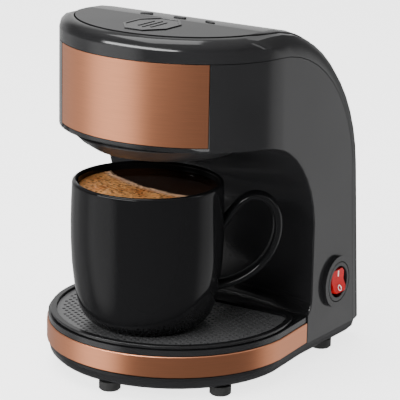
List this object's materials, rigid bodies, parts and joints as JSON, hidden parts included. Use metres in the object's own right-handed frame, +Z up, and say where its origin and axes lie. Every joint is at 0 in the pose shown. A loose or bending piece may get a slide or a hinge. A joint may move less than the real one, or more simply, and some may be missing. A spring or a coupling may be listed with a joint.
{
  "type": "drip coffee maker",
  "caption": "Compact one-cup drip coffee maker with a hinged lid, copper-coloured bands, a round rocker switch, a drip tray and its own mug.",
  "frame": {"origin": "on the surface the machine stands on, under the middle of its overall box", "axes": "+Z up, -Y towards the user, +X to the switch side"},
  "size_m": [0.1417, 0.1722, 0.1936],
  "materials": {
    "black_gloss": "polished black moulding",
    "black_matt": "fine matt moulding",
    "copper": "brushed copper-coloured metallic coat",
    "rubber": "matt",
    "steel": "plain",
    "aluminium": "drawn tube",
    "silicone": "translucent white silicone",
    "sleeve": "glass-fibre sleeve",
    "clear_plastic": "natural moulding",
    "switch_red": "translucent red",
    "wire_brown": "insulation",
    "wire_blue": "insulation",
    "grid_grey": "smooth dark grey",
    "glaze_black": "black glaze on stoneware"
  },
  "bodies": {
    "machine": {"bottom_cover": "black_matt", "main_housing": "black_gloss", "outer_shell": "black_gloss", "front_panel": "copper", "base_trim": "copper", "lid_pin_left": "steel", "lid_pin_right": "steel", "brew_chamber": "black_gloss", "water_tank": "clear_plastic", "check_valve": "black_matt", "inlet_hose": "silicone", "riser_hose": "silicone", "spray_spout": "black_matt", "heater": "aluminium", "heater_strap_left": "steel", "heater_strap_right": "steel", "thermostat": "steel", "thermal_fuse": "sleeve", "switch_body": "black_matt", "terminal_block": "clear_plastic", "wire_supply": "wire_brown", "wire_switched": "wire_brown", "wire_return": "wire_blue", "cord_gland": "rubber", "foot_front": "rubber", "foot_front_left": "rubber", "foot_front_right": "rubber", "foot_rear_left": "rubber", "foot_rear_right": "rubber", "cover_screw_1": "steel", "cover_screw_2": "steel", "cover_screw_3": "steel", "cover_screw_4": "steel"},
    "lid": {"lid": "black_gloss"},
    "tray": {"drip_tray": "black_gloss", "drip_grid": "grid_grey"},
    "filter": {"filter_basket": "black_matt", "filter_mesh": "steel", "filter_rim": "black_matt"},
    "rocker": {"switch_rocker": "switch_red"},
    "mug": {"mug": "glaze_black"}
  },
  "joints": [
    {"name": "lid_hinge", "type": "hinge", "parent": "machine", "child": "lid", "pos_m": [0, 0.03884, 0.16858], "axis": [-1, 0, 0], "range_deg": [0, 80]},
    {"name": "switch_tilt", "type": "hinge", "parent": "machine", "child": "rocker", "pos_m": [0.0662, 0.0466, 0.0423], "axis": [0, 1, 0], "range_deg": [0, 18]},
    {"name": "tray_lift", "type": "slide", "parent": "machine", "child": "tray", "axis": [0, 0, 1], "range_m": [0, 0.003]},
    {"name": "filter_lift", "type": "slide", "parent": "machine", "child": "filter", "axis": [0, 0, 1], "range_m": [0, 0.006]},
    {"name": "mug_out", "type": "slide", "parent": "tray", "child": "mug", "axis": [0, -0.9848, 0.1736], "range_m": [0, 0.12]}
  ]
}
